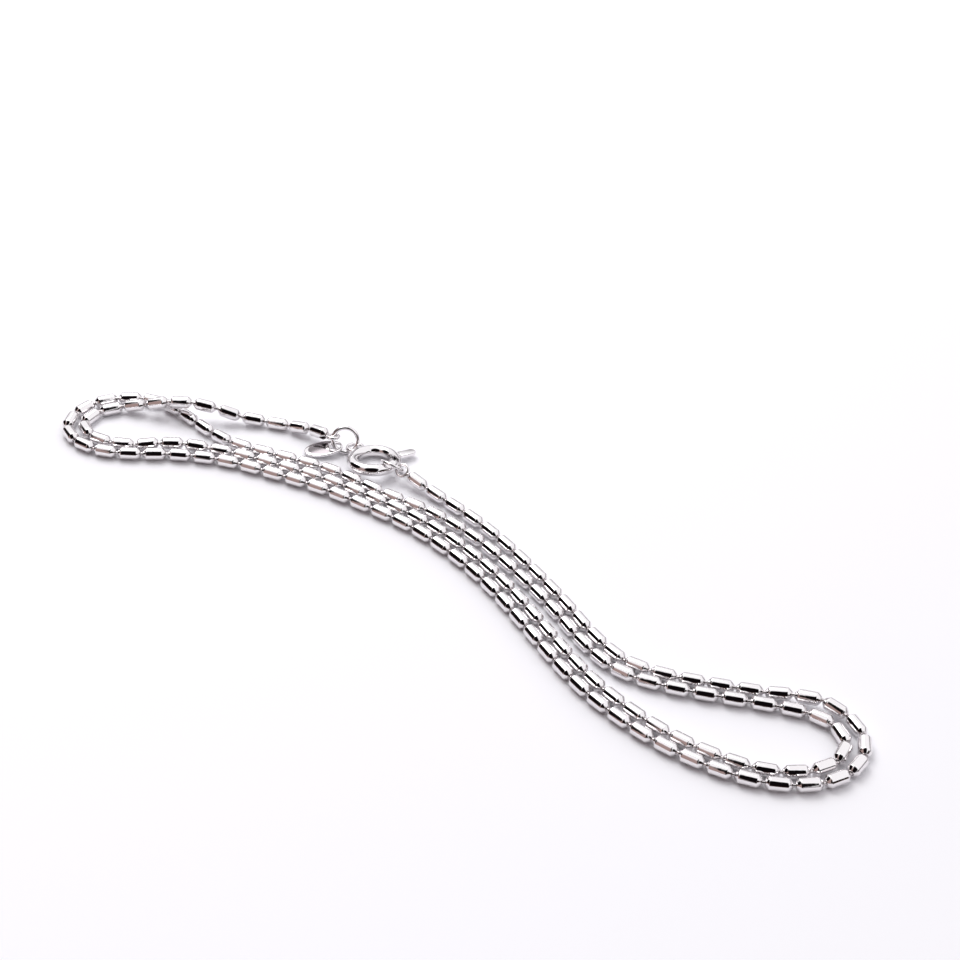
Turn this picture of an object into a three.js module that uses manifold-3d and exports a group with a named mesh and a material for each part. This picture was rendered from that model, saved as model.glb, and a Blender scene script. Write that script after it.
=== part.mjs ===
// A fine silver-coloured necklace of long barrel beads on short wire bars, closed by a spring ring clasp.
// It lies on a flat surface, wound round twice: an outer lap and, just inside it, an inner lap.
// Millimetres, +Z up, +X to the right and +Y away from someone who looks at its long side.
import * as THREE from "three";
import { mergeVertices } from "three/addons/utils/BufferGeometryUtils.js";
import Module from "manifold-3d";

const wasm = await Module();
wasm.setup();

// Bead, the bar between two beads, and the small eye soldered to each end of the chain
const BEAD = { radius: 0.75, length: 2.74, shoulder: 0.42, pitch: 3.0, sides: 10 };
const BAR = { radius: 0.22, stub: 0.12 };
const EYE = { radius: 0.7, wire: 0.2, neck: 0.3, firstRoll: 40, lastRoll: -15 };
// A bead lies on one of its flats, so its axis is this high
const REST = BEAD.radius * Math.cos(Math.PI / BEAD.sides);
// The share of the chain in the first of its two solids: the outer lap
const OUTER_SHARE = 0.437;
// The middle of the necklace's footprint, in the coordinates of the tables below: it becomes the origin
const MIDDLE = { x: -5.67, y: -16.0 };

// Where the outer lap lies, in the order of the chain; inward is how far the inner lap runs inside it
const LAY = [
  // back, from the clasp to the right
  { x: -8.4, y: 0.1, inward: 3.7 },
  { x: -3.9, y: -3.9, inward: 2.7 },
  { x: 0.8, y: -8.9, inward: 2.1 },
  { x: 5.1, y: -14.9, inward: 1.8 },
  { x: 9.1, y: -21.3, inward: 1.65 },
  { x: 12.5, y: -27.4, inward: 1.65 },
  { x: 15.4, y: -30.9, inward: 1.65 },
  { x: 19.6, y: -32.9, inward: 1.65 },
  { x: 24.6, y: -34.3, inward: 1.65 },
  { x: 29.6, y: -35.5, inward: 1.7 },
  // right-hand turn
  { x: 33.8, y: -36.6, inward: 1.8 },
  { x: 37.2, y: -38.8, inward: 1.9 },
  { x: 38.6, y: -42.4, inward: 1.9 },
  { x: 37.2, y: -46.1, inward: 1.9 },
  { x: 33.4, y: -48.2, inward: 1.8 },
  // front, to the left
  { x: 28.2, y: -48.1, inward: 1.65 },
  { x: 23.0, y: -46.0, inward: 1.65 },
  { x: 18.5, y: -43.1, inward: 1.65 },
  { x: 14.4, y: -39.4, inward: 1.65 },
  { x: 10.7, y: -35.1, inward: 1.65 },
  { x: 7.5, y: -30.0, inward: 1.65 },
  { x: 4.3, y: -24.2, inward: 1.65 },
  { x: 0.9, y: -18.5, inward: 1.65 },
  { x: -2.8, y: -13.6, inward: 1.65 },
  { x: -7.6, y: -8.7, inward: 1.65 },
  { x: -12.9, y: -4.9, inward: 1.65 },
  { x: -18.4, y: -1.5, inward: 1.65 },
  { x: -24.4, y: 1.4, inward: 1.65 },
  { x: -30.6, y: 3.9, inward: 1.65 },
  { x: -36.8, y: 5.0, inward: 1.65 },
  // left-hand turn
  { x: -42.8, y: 5.2, inward: 1.7 },
  { x: -47.7, y: 7.0, inward: 1.8 },
  { x: -50.0, y: 10.8, inward: 1.9 },
  { x: -48.2, y: 14.6, inward: 1.9 },
  { x: -44.1, y: 16.4, inward: 1.9 },
  { x: -39.2, y: 15.6, inward: 1.9 },
];
// The step from the outer lap to the inner one, in front of the clasp
const STEP_IN = [
  { x: -30.2, y: 7.6 },
  { x: -23.6, y: 4.6 },
  { x: -17.6, y: 2.0 },
];
// The last stretch of the inner lap, which climbs over that step and ends behind it, at the jump ring
const STEP_OUT = [
  { x: -29.0, y: 12.0 },
  { x: -24.3, y: 11.1 },
  { x: -20.6, y: 9.4 },
  { x: -18.1, y: 7.35 },
];
// Where the chain leaves the surface: height over a place, within reach of it, for a stretch of the chain
const RISES = [
  { x: -8.4, y: 0.1, height: 0.75, reach: 4.5, from: 0.0, to: 0.1 },
  { x: 34.4, y: -36.8, height: 0.6, reach: 4.5, from: 0.0, to: 0.5 },
  { x: -35.6, y: 12.9, height: 1.8, reach: 9.0, from: 0.8, to: 1.0 },
  { x: -18.1, y: 7.35, height: 1.1, reach: 5.5, from: 0.9, to: 1.0 },
];

// Spring ring clasp, in the plane of the ring: angles in degrees from +X towards +Y
const CLASP = {
  radius: 2.5,
  tube: 0.7,
  bore: 0.46,
  mouth: 2,
  socket: 334,
  socketDepth: 9,
  boreEnd: 83,
  slotFrom: 17,
  slotTo: 72,
  slotHeight: 0.56,
  eyelet: { angle: 128, radius: 0.92, wire: 0.25, out: 3.8, lift: 0.1 },
};
// The bolt's lever stands clear of the tube by gap, on a stem that reaches into it
const BOLT = { wire: 0.32, tip: -31, tail: 41, lever: 27, gap: 0.1 };
const LEVER = { width: 1.15, thickness: 0.45, reach: 5.4, stemWidth: 0.8, stemThickness: 0.36, joint: 0.2 };
const CLASP_AT = { x: -12.5, y: 3.25, tilt: 10, tiltAxis: { x: -0.99, y: 0.14 } };

// Rings of round wire: radius to the middle of the wire
const END_RING = { radius: 1.54, wire: 0.2, at: 329, lean: 42.5 };
const JUMP_RING = { radius: 1.5, wire: 0.25, lean: -24 };
// A plain oval tag hangs by its hole on the jump ring, hang degrees to the left of the ring's lowest place
const TAG = { length: 4.7, width: 2.9, thickness: 0.3, hole: 0.62, rim: 0.28, hang: 25, tilt: 8.5, heading: 181 };

// Silver of two finishes, by their roughness, and the number of corners of each round shape
const FINISH = { polished: 0.08, rubbed: 0.2 };
const CORNERS = { wire: 6, eye: 14, eyelet: 16, endRing: 18, jumpRing: 20, tube: 12, bore: 8, tag: 24 };
// Degrees from one section of a swept clasp tube to the next, and how far a cut runs past the tube's end
const SWEEP = { step: 8, past: 8 };

const radians = THREE.MathUtils.degToRad;
const UP = new THREE.Vector3(0, 0, 1);

function solidOf(geometry) {
  const plain = geometry.clone();
  plain.deleteAttribute("uv");
  plain.deleteAttribute("normal");
  const merged = mergeVertices(plain);
  return new wasm.Manifold(
    new wasm.Mesh({
      numProp: 3,
      vertProperties: merged.attributes.position.array,
      triVerts: new Uint32Array(merged.index.array),
    }),
  );
}

function geometryOf(solid) {
  const mesh = solid.getMesh();
  const geometry = new THREE.BufferGeometry();
  geometry.setAttribute("position", new THREE.BufferAttribute(mesh.vertProperties, 3));
  geometry.setIndex(new THREE.BufferAttribute(mesh.triVerts, 1));
  geometry.computeVertexNormals();
  return geometry;
}

const flat = ({ x, y }) => new THREE.Vector3(x, y, 0);

// The rows of LAY moved to the right of the chain's direction, which is the inside of the laps
function innerLap() {
  return LAY.map((row, i) => {
    const before = flat(LAY[Math.max(i - 1, 0)]);
    const after = flat(LAY[Math.min(i + 1, LAY.length - 1)]);
    const heading = after.sub(before).normalize();
    return flat(row).addScaledVector(new THREE.Vector3(heading.y, -heading.x, 0), row.inward);
  });
}

function heightAt(point, share) {
  let height = REST;
  for (const rise of RISES) {
    const near = Math.hypot(point.x - rise.x, point.y - rise.y) / rise.reach;
    const here = share >= rise.from && share <= rise.to && near < 1;
    if (here) height += rise.height * (1 - near ** 2) ** 2;
  }
  return height;
}

// The places where one bead's bar ends and the next begins, a pitch apart along the whole chain
function chainJoints() {
  const points = [...LAY.map(flat), ...STEP_IN.map(flat), ...innerLap(), ...STEP_OUT.map(flat)];
  const route = new THREE.CatmullRomCurve3(points);
  route.arcLengthDivisions = 4000;
  const beads = Math.round(route.getLength() / BEAD.pitch);
  return route.getSpacedPoints(beads).map((joint, i) => joint.setZ(heightAt(joint, i / beads)));
}

// One closed body through rings of corners, each ring square to its own axis and with a flat underneath
function loft(rings) {
  const positions = [];
  for (const { centre, axis, radius } of rings) {
    const side = new THREE.Vector3().crossVectors(axis, UP).normalize();
    const up = new THREE.Vector3().crossVectors(side, axis);
    for (let k = 0; k < BEAD.sides; k++) {
      const angle = ((k + 0.5) / BEAD.sides) * 2 * Math.PI - Math.PI / 2;
      const corner = centre.clone();
      corner.addScaledVector(side, radius * Math.cos(angle));
      corner.addScaledVector(up, radius * Math.sin(angle));
      positions.push(corner.x, corner.y, corner.z);
    }
  }
  const corners = [];
  const last = (rings.length - 1) * BEAD.sides;
  for (let k = 0; k < BEAD.sides; k++) {
    const next = (k + 1) % BEAD.sides;
    for (let ring = 0; ring < last; ring += BEAD.sides) {
      const ahead = ring + BEAD.sides;
      corners.push(ring + k, ahead + k, ahead + next, ring + k, ahead + next, ring + next);
    }
    if (k > 0 && next > 0) corners.push(0, k, next, last, last + next, last + k);
  }
  const geometry = new THREE.BufferGeometry();
  geometry.setAttribute("position", new THREE.Float32BufferAttribute(positions, 3));
  geometry.setIndex(corners);
  return geometry;
}

function beadAt(joints, i) {
  const centre = joints[i].clone().add(joints[i + 1]).multiplyScalar(0.5);
  const axis = joints[i + 1].clone().sub(joints[i]).normalize();
  return { centre, axis };
}

const along = ({ centre, axis }, distance, radius) => ({
  centre: centre.clone().addScaledVector(axis, distance),
  axis,
  radius,
});

// Beads first to last of the chain, with the bars between them
function beadRings(joints, first, last) {
  const end = BEAD.length / 2;
  const rings = [];
  for (let i = first; i < last; i++) {
    const bead = beadAt(joints, i);
    rings.push(along(bead, -end, BAR.radius));
    rings.push(along(bead, BEAD.shoulder - end, BEAD.radius));
    rings.push(along(bead, end - BEAD.shoulder, BEAD.radius));
    rings.push(along(bead, end, BAR.radius));
  }
  return rings;
}

function torusAt({ radius, wire }, centre, normal, corners, wireCorners = CORNERS.wire) {
  const geometry = new THREE.TorusGeometry(radius, wire, wireCorners, corners);
  geometry.applyQuaternion(new THREE.Quaternion().setFromUnitVectors(UP, normal));
  return geometry.translate(centre.x, centre.y, centre.z);
}

// The eye beyond a chain's end bead: its middle, and its normal turned by roll degrees about the bead
function eyeAt(bead, direction, roll) {
  const distance = direction * (BEAD.length / 2 + EYE.neck + EYE.radius);
  const side = new THREE.Vector3().crossVectors(bead.axis, UP).normalize();
  const upright = new THREE.Vector3().crossVectors(side, bead.axis);
  return {
    centre: along(bead, distance).centre,
    normal: upright.applyAxisAngle(bead.axis, radians(roll)),
  };
}

const joints = chainJoints();
const beads = joints.length - 1;
const outerBeads = Math.round(beads * OUTER_SHARE);
const firstBead = beadAt(joints, 0);
const lastBead = beadAt(joints, beads - 1);
const firstEye = eyeAt(firstBead, -1, EYE.firstRoll);
const lastEye = eyeAt(lastBead, 1, EYE.lastRoll);

function outerLapGeometry() {
  const rings = beadRings(joints, 0, outerBeads);
  rings.unshift(along(firstBead, -BEAD.length / 2 - EYE.neck, BAR.radius));
  const stub = BEAD.length / 2 + BAR.stub;
  rings.push(along(beadAt(joints, outerBeads - 1), stub, BAR.radius));
  const eye = torusAt(EYE, firstEye.centre, firstEye.normal, CORNERS.eye);
  return geometryOf(solidOf(loft(rings)).add(solidOf(eye)));
}

function innerLapGeometry() {
  const rings = beadRings(joints, outerBeads, beads);
  rings.push(along(lastBead, BEAD.length / 2 + EYE.neck, BAR.radius));
  const eye = torusAt(EYE, lastEye.centre, lastEye.normal, CORNERS.eye);
  return geometryOf(solidOf(loft(rings)).add(solidOf(eye)));
}

// An arc about +Z, from one angle in degrees to another
class Arc extends THREE.Curve {
  constructor(radius, from, to) {
    super();
    Object.assign(this, { radius, from: radians(from), to: radians(to) });
  }
  getPoint(t) {
    const angle = this.from + (this.to - this.from) * t;
    return new THREE.Vector3(Math.cos(angle), Math.sin(angle), 0).multiplyScalar(this.radius);
  }
}

// A section swept along an arc of the clasp; its x is downwards and its y towards the middle of the ring
function swept(section, from, to) {
  const steps = Math.round((to - from) / SWEEP.step);
  const extrudePath = new Arc(CLASP.radius, from, to);
  return new THREE.ExtrudeGeometry(new THREE.Shape(section), { steps, extrudePath });
}

function circle(radius, corners) {
  const angle = (k) => ((k + 0.5) / corners) * 2 * Math.PI;
  const corner = (_, k) => new THREE.Vector2(Math.cos(angle(k)), Math.sin(angle(k))).multiplyScalar(radius);
  return Array.from({ length: corners }, corner);
}

const rectangle = (x, fromY, toY) => [
  new THREE.Vector2(-x, fromY),
  new THREE.Vector2(x, fromY),
  new THREE.Vector2(x, toY),
  new THREE.Vector2(-x, toY),
];

// The tube is hollow at both ends for the bolt, and slotted outside for its lever
function claspBodyGeometry() {
  const tube = solidOf(swept(circle(CLASP.tube, CORNERS.tube), CLASP.mouth, CLASP.socket));
  const hollow = circle(CLASP.bore, CORNERS.bore);
  const bore = solidOf(swept(hollow, CLASP.mouth - SWEEP.past, CLASP.boreEnd));
  const socket = solidOf(swept(hollow, CLASP.socket - CLASP.socketDepth, CLASP.socket + SWEEP.past));
  const outside = -2 * CLASP.tube;
  const slotShape = rectangle(CLASP.slotHeight / 2, outside, 0);
  const slot = solidOf(swept(slotShape, CLASP.slotFrom, CLASP.slotTo));
  const { angle, out, lift } = CLASP.eyelet;
  const centre = new THREE.Vector3(out, 0, lift).applyAxisAngle(UP, radians(angle));
  const eyelet = solidOf(torusAt(CLASP.eyelet, centre, UP, CORNERS.eyelet, CORNERS.bore));
  return geometryOf(tube.add(eyelet).subtract(bore).subtract(socket).subtract(slot));
}

// The bolt is a bent wire, and its lever is a flat round-ended tab on a stem that comes out of the slot
function claspBoltGeometry() {
  const wire = solidOf(swept(circle(BOLT.wire, CORNERS.bore), BOLT.tip, BOLT.tail));
  const start = CLASP.radius + CLASP.tube + BOLT.gap;
  const half = LEVER.width / 2;
  const outline = new THREE.Shape();
  outline.moveTo(start, -half);
  outline.lineTo(LEVER.reach - half, -half);
  outline.absarc(LEVER.reach - half, 0, half, -Math.PI / 2, Math.PI / 2, false);
  outline.lineTo(start, half);
  const options = { depth: LEVER.thickness, bevelEnabled: false, curveSegments: CORNERS.tube / 2 };
  const tab = new THREE.ExtrudeGeometry(outline, options).translate(0, 0, -LEVER.thickness / 2);
  const stemEnd = start + LEVER.joint;
  const stem = new THREE.BoxGeometry(stemEnd - CLASP.radius, LEVER.stemWidth, LEVER.stemThickness);
  stem.translate((CLASP.radius + stemEnd) / 2, 0, 0);
  const lever = solidOf(tab).add(solidOf(stem)).rotate([0, 0, BOLT.lever]);
  return geometryOf(wire.add(lever));
}

function placedClasp() {
  const clasp = new THREE.Group();
  const { x, y, tilt, tiltAxis } = CLASP_AT;
  const low = CLASP.tube + CLASP.radius * Math.sin(radians(tilt));
  clasp.position.set(x, y, low);
  clasp.quaternion.setFromAxisAngle(flat(tiltAxis).normalize(), radians(tilt));
  clasp.updateMatrixWorld(true);
  return clasp;
}

const clasp = placedClasp();
const onClasp = (radius, angle, lift = 0) =>
  new THREE.Vector3(radius, 0, lift).applyAxisAngle(UP, radians(angle)).applyMatrix4(clasp.matrix);

// The closed ring that joins the chain's first eye to the tube of the clasp
function endRingGeometry() {
  const tube = onClasp(CLASP.radius, END_RING.at);
  const out = firstEye.centre.clone().sub(tube).normalize();
  const centre = firstEye.centre.clone().addScaledVector(out, -END_RING.radius);
  const across = new THREE.Vector3().crossVectors(UP, out).normalize();
  const normal = across.applyAxisAngle(out, radians(END_RING.lean));
  return torusAt(END_RING, centre, normal, CORNERS.endRing);
}

// The jump ring stands almost upright, and its wire passes through the last eye and the clasp's eyelet
function jumpRing() {
  const left = lastEye.centre;
  const right = onClasp(CLASP.eyelet.out, CLASP.eyelet.angle, CLASP.eyelet.lift);
  const across = right.clone().sub(left).normalize();
  const back = new THREE.Vector3().crossVectors(UP, across).normalize();
  const normal = back.applyAxisAngle(across, radians(JUMP_RING.lean));
  const up = new THREE.Vector3().crossVectors(across, normal);
  const rise = Math.sqrt(JUMP_RING.radius ** 2 - (left.distanceTo(right) / 2) ** 2);
  const centre = left.clone().add(right).multiplyScalar(0.5).addScaledVector(up, rise);
  return { centre, normal, across, up };
}

function tagGeometry({ centre, across, up }) {
  const outline = new THREE.Shape();
  const middle = TAG.length / 2 - TAG.rim - TAG.hole;
  outline.absellipse(middle, 0, TAG.length / 2, TAG.width / 2, 0, 2 * Math.PI);
  const hole = new THREE.Path();
  hole.absellipse(0, 0, TAG.hole, TAG.hole, 0, 2 * Math.PI);
  outline.holes.push(hole);
  const options = { depth: TAG.thickness, bevelEnabled: false, curveSegments: CORNERS.tag / 2 };
  const tag = new THREE.ExtrudeGeometry(outline, options).translate(0, 0, -TAG.thickness / 2);
  tag.rotateY(radians(TAG.tilt)).rotateZ(radians(TAG.heading));
  const hang = radians(TAG.hang);
  const at = centre.clone().addScaledVector(across, -JUMP_RING.radius * Math.sin(hang));
  at.addScaledVector(up, -JUMP_RING.radius * Math.cos(hang));
  return tag.translate(at.x, at.y, at.z);
}

function named(name, geometry, roughness = FINISH.polished) {
  const material = new THREE.MeshStandardMaterial({ color: 0xc9c7c6, roughness, metalness: 1 });
  const mesh = new THREE.Mesh(geometry, material);
  mesh.name = name;
  return mesh;
}

const ring = jumpRing();
const necklace = new THREE.Group();
necklace.position.set(-MIDDLE.x, -MIDDLE.y, 0);
clasp.add(named("clasp_body", claspBodyGeometry()));
clasp.add(named("clasp_bolt", claspBoltGeometry()));
necklace.add(clasp);
necklace.add(named("chain_outer_lap", outerLapGeometry()));
necklace.add(named("chain_inner_lap", innerLapGeometry()));
necklace.add(named("end_ring", endRingGeometry()));
necklace.add(named("jump_ring", torusAt(JUMP_RING, ring.centre, ring.normal, CORNERS.jumpRing)));
necklace.add(named("oval_tag", tagGeometry(ring), FINISH.rubbed));

export default necklace;
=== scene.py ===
# %% [markdown]
# This lesson dresses a fine silver necklace: long barrel beads on short wire bars, closed by a
# spring ring clasp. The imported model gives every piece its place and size, and this script gives
# them their fine shapes and their polish. Everything is in metres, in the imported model's own
# frame: +Z is up and +Y points away from the camera.

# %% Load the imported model
import math

import bmesh
import bpy
import numpy as np
from mathutils import Matrix, Quaternion, Vector


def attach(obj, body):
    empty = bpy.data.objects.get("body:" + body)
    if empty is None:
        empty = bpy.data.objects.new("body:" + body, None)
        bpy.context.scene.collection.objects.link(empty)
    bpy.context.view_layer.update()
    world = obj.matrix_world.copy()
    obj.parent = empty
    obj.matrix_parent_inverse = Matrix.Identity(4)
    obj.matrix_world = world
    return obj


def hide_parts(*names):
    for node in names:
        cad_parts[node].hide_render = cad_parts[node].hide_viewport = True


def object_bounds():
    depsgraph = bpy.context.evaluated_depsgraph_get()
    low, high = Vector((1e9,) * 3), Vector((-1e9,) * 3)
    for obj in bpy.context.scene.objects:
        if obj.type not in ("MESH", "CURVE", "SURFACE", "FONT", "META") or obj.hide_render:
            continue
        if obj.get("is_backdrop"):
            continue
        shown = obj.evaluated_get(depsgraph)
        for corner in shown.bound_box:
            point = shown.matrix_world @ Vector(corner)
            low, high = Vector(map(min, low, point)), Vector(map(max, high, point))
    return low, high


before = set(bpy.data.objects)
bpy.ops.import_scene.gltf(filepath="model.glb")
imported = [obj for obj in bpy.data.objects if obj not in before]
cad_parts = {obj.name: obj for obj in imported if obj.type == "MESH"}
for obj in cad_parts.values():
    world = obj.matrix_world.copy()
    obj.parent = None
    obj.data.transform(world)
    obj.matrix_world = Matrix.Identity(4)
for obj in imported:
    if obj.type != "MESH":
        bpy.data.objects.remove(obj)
cad_box = [list(corner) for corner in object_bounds()]
print("nodes:", sorted(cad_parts))

# %% [markdown]
# Jewellery is small, so its sizes read best in millimetres. One factor turns them to Blender's
# metres, and one shift moves the numbers of the lay, which were measured from another zero, to
# the middle of the footprint. From here on a length is in millimetres and an angle in degrees,
# unless a comment says otherwise.

# %% Units and the origin
MM = 0.001
FULL_TURN = 2 * math.pi
UP = Vector((0.0, 0.0, 1.0))
MIDDLE = Vector((-5.67, -16.0, 0.0))


def placed(x, y, z=0.0):
    """A place in the lay's millimetres, as a vector from the necklace's origin, in millimetres."""
    return Vector((x, y, z)) - MIDDLE


print("the lay's zero is", [round(v, 2) for v in placed(0.0, 0.0)], "mm from the origin")

# %% [markdown]
# A product photographer shoots such a chain from a little above with a short telephoto lens, so
# that near and far beads look nearly the same size. A 75 mm lens at 38 degrees does that here.
# The camera comes first, because every later choice is judged through it.

# %% Camera
LENS, SENSOR = 75.0, 36.0
LOOKS_DOWN = 38.0
CAMERA_AT = placed(0.0, -183.76, 144.32)
# In metres
NEAREST_SEEN = 0.01

camera_data = bpy.data.cameras.new("camera")
camera_data.lens = LENS
camera_data.sensor_width = SENSOR
camera_data.clip_start = NEAREST_SEEN
camera = bpy.data.objects.new("camera", camera_data)
camera.location = CAMERA_AT * MM
camera.rotation_euler = (math.radians(90 - LOOKS_DOWN), 0.0, 0.0)
bpy.context.collection.objects.link(camera)
bpy.context.scene.camera = camera
print("camera at", [round(v, 4) for v in camera.location])

# %% [markdown]
# The chain lies twice round a long flat loop. Its outer lap is a list of places picked along the
# real one, a few beads apart, and the inner lap runs a stated distance inside it. A short stretch
# steps in from the first lap to the second, and the last stretch climbs over that step. A single
# traced curve could hold all of it, but then the two laps would not keep their distance.

# %% Where the chain lies
# x, y and how far the inner lap runs inside
LAY = [
    # back, from the clasp to the right
    (-8.4, 0.1, 3.7), (-3.9, -3.9, 2.7), (0.8, -8.9, 2.1), (5.1, -14.9, 1.8),
    (9.1, -21.3, 1.65), (12.5, -27.4, 1.65), (15.4, -30.9, 1.65), (19.6, -32.9, 1.65),
    (24.6, -34.3, 1.65), (29.6, -35.5, 1.7),
    # right-hand turn
    (33.8, -36.6, 1.8), (37.2, -38.8, 1.9), (38.6, -42.4, 1.9), (37.2, -46.1, 1.9),
    (33.4, -48.2, 1.8),
    # front, to the left
    (28.2, -48.1, 1.65), (23.0, -46.0, 1.65), (18.5, -43.1, 1.65), (14.4, -39.4, 1.65),
    (10.7, -35.1, 1.65), (7.5, -30.0, 1.65), (4.3, -24.2, 1.65), (0.9, -18.5, 1.65),
    (-2.8, -13.6, 1.65), (-7.6, -8.7, 1.65), (-12.9, -4.9, 1.65), (-18.4, -1.5, 1.65),
    (-24.4, 1.4, 1.65), (-30.6, 3.9, 1.65), (-36.8, 5.0, 1.65),
    # left-hand turn
    (-42.8, 5.2, 1.7), (-47.7, 7.0, 1.8), (-50.0, 10.8, 1.9), (-48.2, 14.6, 1.9),
    (-44.1, 16.4, 1.9), (-39.2, 15.6, 1.9),
]
STEP_IN = [(-30.2, 7.6), (-23.6, 4.6), (-17.6, 2.0)]
STEP_OUT = [(-29.0, 12.0), (-24.3, 11.1), (-20.6, 9.4), (-18.1, 7.35)]


def inner_lap():
    """The places of LAY moved to the right of the chain's direction, the inside of the laps."""
    points = []
    for i, (x, y, inward) in enumerate(LAY):
        before, after = LAY[max(i - 1, 0)], LAY[min(i + 1, len(LAY) - 1)]
        heading = Vector((after[0] - before[0], after[1] - before[1])).normalized()
        points.append((x + heading.y * inward, y - heading.x * inward))
    return points


route = [(x, y) for x, y, _ in LAY] + STEP_IN + inner_lap() + STEP_OUT
print("the route has", len(route), "places")

# %% [markdown]
# Beads on a real chain are evenly spaced whatever the curve does, so the route is first drawn as
# a smooth curve and then walked in equal steps. A centripetal Catmull-Rom curve passes through
# every place without looping in the tight turns, and a fine table of its length turns an even
# walk into places on the curve.

# %% Walk the route in bead pitches
BEAD_PITCH = 3.0
DIVISIONS = 4000


def span(a, b):
    """The square root of the distance of two places, which makes the curve centripetal."""
    return float((b - a) @ (b - a)) ** 0.25


def curve_point(points, t):
    """A point of a centripetal Catmull-Rom curve through points, at t from 0 to 1."""
    reach = (len(points) - 1) * t
    i = min(int(reach), len(points) - 2)
    w = reach - i
    x1, x2 = points[i], points[i + 1]
    x0 = points[i - 1] if i > 0 else 2 * points[0] - points[1]
    x3 = points[i + 2] if i + 2 < len(points) else 2 * points[-1] - points[-2]
    d0, d1, d2 = span(x0, x1), span(x1, x2), span(x2, x3)
    t1 = ((x1 - x0) / d0 - (x2 - x0) / (d0 + d1) + (x2 - x1) / d1) * d1
    t2 = ((x2 - x1) / d1 - (x3 - x1) / (d1 + d2) + (x3 - x2) / d2) * d1
    bend, turn_back = 3 * (x2 - x1) - 2 * t1 - t2, 2 * (x1 - x2) + t1 + t2
    return x1 + t1 * w + bend * w**2 + turn_back * w**3


def even_walk(points, pitch):
    """Points about a pitch apart along the curve, as many whole steps as fit it best."""
    points = [np.array(p, float) for p in points]
    shares = np.linspace(0, 1, DIVISIONS + 1)
    samples = np.array([curve_point(points, t) for t in shares])
    steps = np.linalg.norm(np.diff(samples, axis=0), axis=1)
    lengths = np.concatenate([[0.0], np.cumsum(steps)])
    marks = np.linspace(0, lengths[-1], round(lengths[-1] / pitch) + 1)
    return [curve_point(points, t) for t in np.interp(marks, lengths, shares)]


walk = even_walk(route, BEAD_PITCH)
BEADS = len(walk) - 1
print("beads:", BEADS)

# %% [markdown]
# A bead that lies on a flat surface touches it along its underside, so its axis is one radius up.
# Near a crossing or a ring the chain arches over a low smooth hump, and each hump holds for its
# own stretch of the chain only, or the strand below would rise too. A simulation could find the
# humps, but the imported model's are known, and the beads have to lie where its beads lie.

# %% Heights and the beads' own axes
BEAD_RADIUS, BEAD_LENGTH = 0.74, 2.74
# x, y, height and reach of each hump, and the stretch that rises, as shares of the chain
RISES = [
    (-8.4, 0.1, 0.75, 4.5, 0.0, 0.1),
    (34.4, -36.8, 0.6, 4.5, 0.0, 0.5),
    (-35.6, 12.9, 1.8, 9.0, 0.8, 1.0),
    (-18.1, 7.35, 1.1, 5.5, 0.9, 1.0),
]


def height_at(x, y, share):
    """How high the chain's axis runs over a place, at a share of the chain's length."""
    height = BEAD_RADIUS
    for rise_x, rise_y, rise, reach, start, end in RISES:
        near = math.hypot(x - rise_x, y - rise_y) / reach
        if start <= share <= end and near < 1:
            height += rise * (1 - near**2) ** 2
    return height


joints = [placed(x, y, height_at(x, y, i / BEADS)) for i, (x, y) in enumerate(walk)]
bead_centres = [(a + b) / 2 for a, b in zip(joints, joints[1:])]
bead_axes = [(b - a).normalized() for a, b in zip(joints, joints[1:])]
print("highest joint:", round(max(p.z for p in joints), 2), "mm")

# %% [markdown]
# Colours are easiest to choose as the sRGB hex values that a colour picker shows, but Blender's
# nodes work in linear light, so one function does that turn, with the numbers of the sRGB
# standard. A second small function adds any node with its settings and links, which keeps each
# material a short list of what feeds what.

# %% Colours and nodes


def linear(hex_colour):
    """An sRGB hex colour as linear red, green, blue and alpha."""
    channels = [int(hex_colour[i : i + 2], 16) / 255 for i in (1, 3, 5)]
    return [c / 12.92 if c <= 0.04045 else ((c + 0.055) / 1.055) ** 2.4 for c in channels] + [1.0]


def add_node(tree, kind, settings=None, **inputs):
    """Adds a node. settings are its own values, and inputs are values or sockets to link.

    An input goes by its socket's name, with _ for a space, or by _ and the socket's number.
    """
    node = tree.nodes.new(kind)
    for name, value in (settings or {}).items():
        setattr(node, name, value)
    for name, value in inputs.items():
        by_number = name[0] == "_"
        socket = node.inputs[int(name[1:]) if by_number else name.replace("_", " ")]
        if isinstance(value, bpy.types.NodeSocket):
            tree.links.new(value, socket)
        else:
            socket.default_value = value
    return node


def new_material(name):
    """An empty node material and its output node."""
    material = bpy.data.materials.new(name)
    material.use_nodes = True
    material.node_tree.nodes.clear()
    return material, material.node_tree.nodes.new("ShaderNodeOutputMaterial")


print("middle grey is", round(linear("#808080")[0], 3), "in linear light")

# %% [markdown]
# Fine chain of this kind is sterling silver with a flash of rhodium, which keeps it bright. It is
# tumbled with steel shot until it mirrors. Up close the polish is not perfect: soft dents from
# the tumbling bend each reflection a little, and hairlines from wear blur it. Round each bar,
# where a bead meets it, and on the tag's face, a darker colour is painted on: painted shade. Real
# hairlines are under 0.01 mm apart. Here they are 0.05 mm apart, as coarse as they need to be to
# show. A metal keeps the default IOR, and its colour is the colour of its reflections.

# %% Polished silver
# The silver's own colour, the darker colour of the painted shade round the bars, and the grey of
# the painted shade on the tag's face
SILVER, SHADED_SILVER, TAG_FACE_SHADE = "#ece9ea", "#cfcacb", "#7f797c"
# Each pattern's size in millimetres, and how many finer layers it has
WEAR, DENTS, HAIRLINES = (4.0, 3.0), (0.6, 1.0), (0.05, 2.0)
HAIRLINE_DEPTH, HAIRLINE_STRENGTH = 0.002, 0.3
# The wear pattern's values where the polish is best and worst, and what they multiply the
# roughness by
LEAST_WEAR, MOST_WEAR = 0.35, 0.7
BEST_POLISH, WORST_POLISH = 0.7, 1.6


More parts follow.
